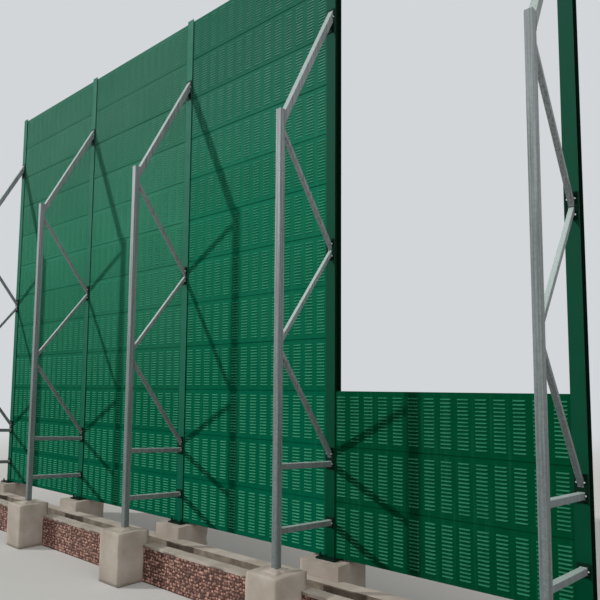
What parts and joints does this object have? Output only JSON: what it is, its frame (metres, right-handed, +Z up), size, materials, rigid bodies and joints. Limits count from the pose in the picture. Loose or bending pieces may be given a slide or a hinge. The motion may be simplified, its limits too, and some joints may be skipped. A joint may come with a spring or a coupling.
{
  "type": "noise barrier section",
  "caption": "Noise barrier of stacked louvred panels between H-section steel posts, each post braced by a square-tube truss on a concrete pier, with a low pebble-dashed wall.",
  "frame": {"origin": "on the floor, at the middle of the whole object's box", "axes": "+X along the wall towards the part-built bay, +Y from the truss side through the panels, +Z up"},
  "size_m": [9.24, 1.138, 6.52],
  "materials": {
    "panel_green": "pressed sheet, powder-coated satin green",
    "post_green": "painted rolled steel, satin green",
    "plate_green": "painted steel plate, dark green",
    "galvanised_tube": "hot-dip galvanised, weathered",
    "cast_concrete": "cast concrete, dusty",
    "pebble_dash": "pebble-dashed render"
  },
  "bodies": {
    "root": {"bay_1_panels_high": "panel_green", "bay_1_panels_low": "panel_green", "bay_1_panels_middle": "panel_green", "bay_2_panels_high": "panel_green", "bay_2_panels_low": "panel_green", "bay_2_panels_middle": "panel_green", "bay_3_panels_high": "panel_green", "bay_3_panels_low": "panel_green", "bay_3_panels_middle": "panel_green", "bay_4_panels_low": "panel_green", "chord_foot_plates": "galvanised_tube", "drain_bed": "cast_concrete", "end_plates_1": "plate_green", "end_plates_2": "plate_green", "end_plates_3": "plate_green", "end_plates_4": "plate_green", "end_plates_5": "plate_green", "pebble_wall_1": "pebble_dash", "pebble_wall_2": "pebble_dash", "pebble_wall_3": "pebble_dash", "pebble_wall_4": "pebble_dash", "post_1": "post_green", "post_2": "post_green", "post_3": "post_green", "post_4": "post_green", "post_5": "post_green", "post_base_plates": "plate_green", "post_pads": "cast_concrete", "rear_kerb": "cast_concrete", "truss_braces_1": "galvanised_tube", "truss_braces_2": "galvanised_tube", "truss_braces_3": "galvanised_tube", "truss_braces_4": "galvanised_tube", "truss_braces_5": "galvanised_tube", "truss_chord_1": "galvanised_tube", "truss_chord_2": "galvanised_tube", "truss_chord_3": "galvanised_tube", "truss_chord_4": "galvanised_tube", "truss_chord_5": "galvanised_tube", "truss_pier_1": "cast_concrete", "truss_pier_2": "cast_concrete", "truss_pier_3": "cast_concrete", "truss_pier_4": "cast_concrete", "truss_pier_5": "cast_concrete", "wall_coping": "cast_concrete"}
  },
  "joints": []
}
